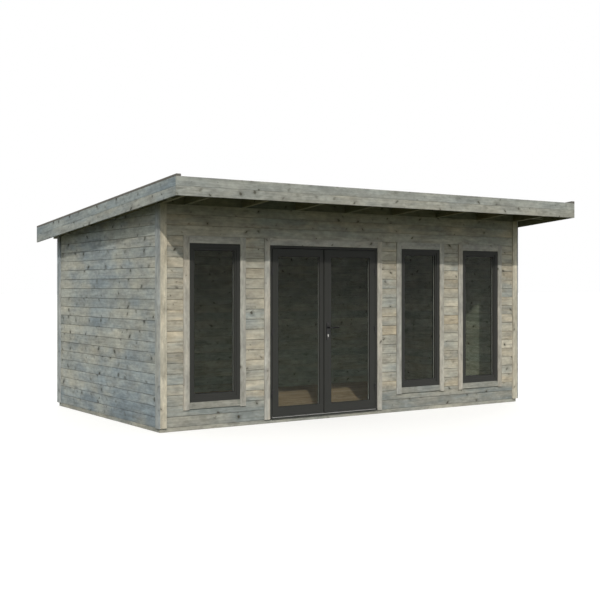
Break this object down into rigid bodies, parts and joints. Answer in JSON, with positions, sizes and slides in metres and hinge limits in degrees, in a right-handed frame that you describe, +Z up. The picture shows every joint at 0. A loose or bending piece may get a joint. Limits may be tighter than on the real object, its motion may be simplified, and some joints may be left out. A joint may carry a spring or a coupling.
{
  "type": "garden house",
  "caption": "Timber garden house with a low single-pitch roof and deep front overhang, tall fixed windows, and a glazed double door of hinged leaves with a lever handle.",
  "frame": {"origin": "on the ground under the middle of the roof's plan", "axes": "+Z up, +X to the right along the front as seen from outside, +Y from the front to the back"},
  "size_m": [5.854, 4.094, 2.7081],
  "materials": {
    "base_timber": "sawn, impregnated",
    "floor_boards": "planed, bare",
    "wall_boards": "grey dip-treated boards",
    "trim_boards": "grey dip-treated boards",
    "frame_paint": "satin anthracite paint",
    "glass": "clear double glazing",
    "threshold_metal": "natural",
    "black_metal": "satin black",
    "bright_steel": "brushed",
    "roof_timber": "planed, treated",
    "roof_felt": "mineral bitumen felt",
    "roof_edge": "dark grey edge batten"
  },
  "bodies": {
    "house": {"base_beams": "base_timber", "floor_joists": "base_timber", "floor_deck": "floor_boards", "front_wall_piers": "wall_boards", "front_wall_sills": "wall_boards", "front_wall_header": "wall_boards", "back_wall": "wall_boards", "left_wall": "wall_boards", "right_wall": "wall_boards", "eaves_infill": "wall_boards", "corner_trim_front_left": "trim_boards", "corner_trim_front_right": "trim_boards", "corner_trim_back_left": "trim_boards", "corner_trim_back_right": "trim_boards", "casing_sides": "trim_boards", "casing_rails": "trim_boards", "front_fascia": "trim_boards", "back_fascia": "trim_boards", "side_fascias": "trim_boards", "left_window_frame": "frame_paint", "middle_window_frame": "frame_paint", "right_window_frame": "frame_paint", "door_jambs": "frame_paint", "door_head": "frame_paint", "door_threshold": "frame_paint", "left_window_glass": "glass", "middle_window_glass": "glass", "right_window_glass": "glass", "threshold_cap": "threshold_metal", "frame_hinges": "black_metal", "rafters": "roof_timber", "outlookers": "roof_timber", "roof_deck": "roof_timber", "roof_felt": "roof_felt", "edge_strips": "roof_edge"},
    "left_door": {"left_leaf": "frame_paint", "left_leaf_glass": "glass", "left_leaf_hinges": "black_metal"},
    "right_door": {"right_leaf": "frame_paint", "right_leaf_glass": "glass", "right_leaf_hinges": "black_metal", "meeting_strip": "frame_paint", "handle_plates": "black_metal", "lock_cylinder": "bright_steel"},
    "lever": {"lever_handle": "black_metal"}
  },
  "joints": [
    {"name": "left_door_swing", "type": "hinge", "parent": "house", "child": "left_door", "pos_m": [-1.2745, -1.23, 0], "axis": [0, 0, -1], "range_deg": [0, 110]},
    {"name": "right_door_swing", "type": "hinge", "parent": "house", "child": "right_door", "pos_m": [0.2335, -1.23, 0], "axis": [0, 0, 1], "range_deg": [0, 110]},
    {"name": "lever_turn", "type": "hinge", "parent": "right_door", "child": "lever", "pos_m": [-0.488, -1.222, 1.09], "axis": [0, 1, 0], "range_deg": [0, 40], "stiffness_Nm_per_rad": 2, "springref_deg": -20.05}
  ]
}
